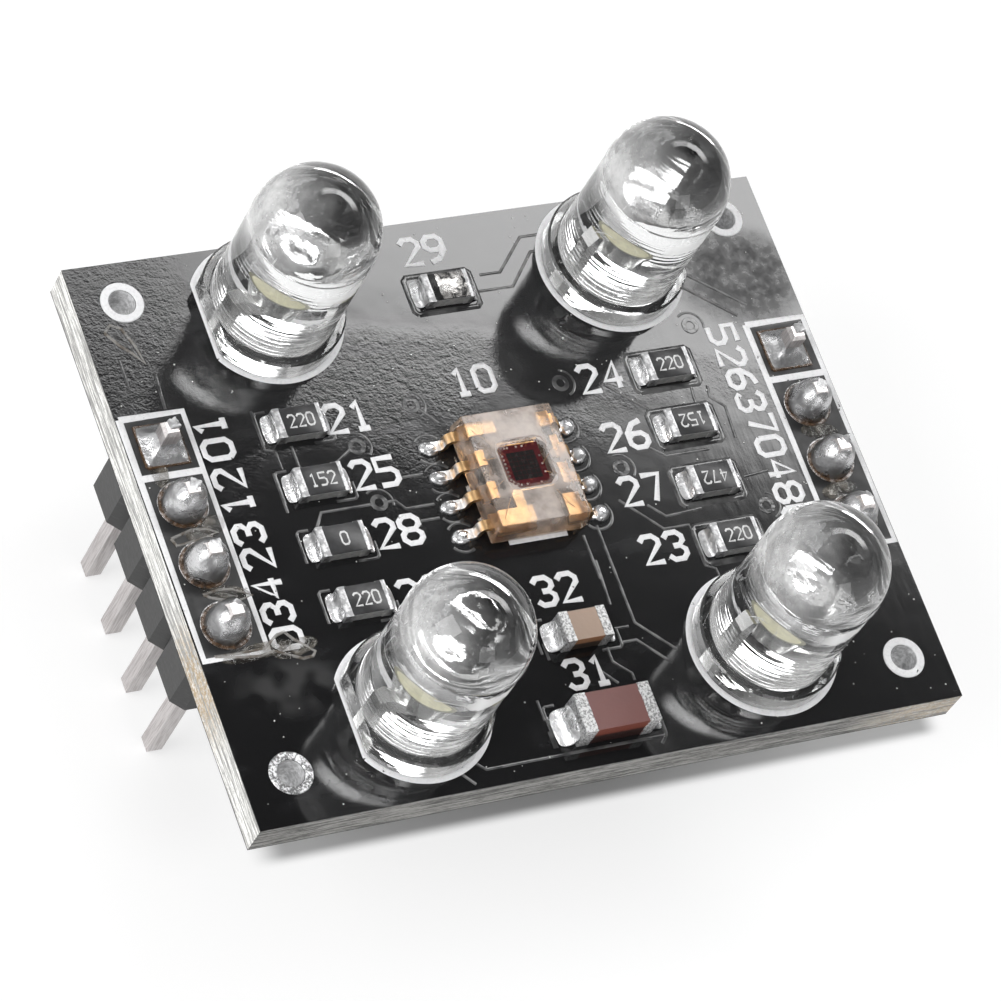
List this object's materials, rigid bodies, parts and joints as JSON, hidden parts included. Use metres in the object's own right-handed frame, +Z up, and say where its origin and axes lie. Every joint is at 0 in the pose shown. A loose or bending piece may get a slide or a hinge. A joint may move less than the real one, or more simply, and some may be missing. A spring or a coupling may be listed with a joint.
{
  "type": "color sensor module",
  "caption": "Small rectangular circuit board with clear round LEDs at its corners round a clear light sensor, chip components between them and pin headers under two edges.",
  "frame": {"origin": "on the floor that the pin tips stand on, under the middle of the board's outline", "axes": "+X along the board's long side, from the header beside the first resistor column to the other; +Y to the back edge; +Z up out of the component side"},
  "size_m": [0.0298, 0.0236, 0.0187],
  "materials": {
    "board": "glossy black coated glass-epoxy board with white marks",
    "header_plastic": "satin black moulded plastic",
    "pin_metal": "bright tinned square wire",
    "solder": "smooth bright solder",
    "clear_epoxy": "clear moulded epoxy",
    "phosphor": "pale yellow matte fill",
    "lead_metal": "bright plated stamped metal",
    "frame_metal": "gold plated stamped metal, tinned at the feet",
    "sensor_chip": "dark polished chip",
    "light_chip": "pale polished chip",
    "resistor": "black glazed top between bright metal ends",
    "small_capacitor": "tan ceramic between speckled metal ends",
    "large_capacitor": "reddish brown ceramic between metal ends"
  },
  "bodies": {
    "root": {"capacitor_large": "large_capacitor", "capacitor_small": "small_capacitor", "capacitor_solder": "solder", "circuit_board": "board", "header_pin_left_1": "pin_metal", "header_pin_left_2": "pin_metal", "header_pin_left_3": "pin_metal", "header_pin_left_4": "pin_metal", "header_pin_right_1": "pin_metal", "header_pin_right_2": "pin_metal", "header_pin_right_3": "pin_metal", "header_pin_right_4": "pin_metal", "header_plastic_left": "header_plastic", "header_plastic_right": "header_plastic", "header_solder_left": "solder", "header_solder_right": "solder", "led_chip_back_left": "light_chip", "led_chip_back_right": "light_chip", "led_chip_front_left": "light_chip", "led_chip_front_right": "light_chip", "led_cup_lead_back_left": "lead_metal", "led_cup_lead_back_right": "lead_metal", "led_cup_lead_front_left": "lead_metal", "led_cup_lead_front_right": "lead_metal", "led_lens_back_left": "clear_epoxy", "led_lens_back_right": "clear_epoxy", "led_lens_front_left": "clear_epoxy", "led_lens_front_right": "clear_epoxy", "led_phosphor_back_left": "phosphor", "led_phosphor_back_right": "phosphor", "led_phosphor_front_left": "phosphor", "led_phosphor_front_right": "phosphor", "led_post_lead_back_left": "lead_metal", "led_post_lead_back_right": "lead_metal", "led_post_lead_front_left": "lead_metal", "led_post_lead_front_right": "lead_metal", "led_solder": "solder", "resistor_back": "resistor", "resistor_left_1": "resistor", "resistor_left_2": "resistor", "resistor_left_3": "resistor", "resistor_left_4": "resistor", "resistor_right_1": "resistor", "resistor_right_2": "resistor", "resistor_right_3": "resistor", "resistor_right_4": "resistor", "resistor_solder": "solder", "sensor_case": "clear_epoxy", "sensor_chip": "sensor_chip", "sensor_lead_1": "frame_metal", "sensor_lead_2": "frame_metal", "sensor_lead_3": "frame_metal", "sensor_lead_4": "frame_metal", "sensor_lead_5": "frame_metal", "sensor_lead_6": "frame_metal", "sensor_lead_7": "frame_metal", "sensor_lead_8": "frame_metal", "sensor_solder": "solder"}
  },
  "joints": []
}
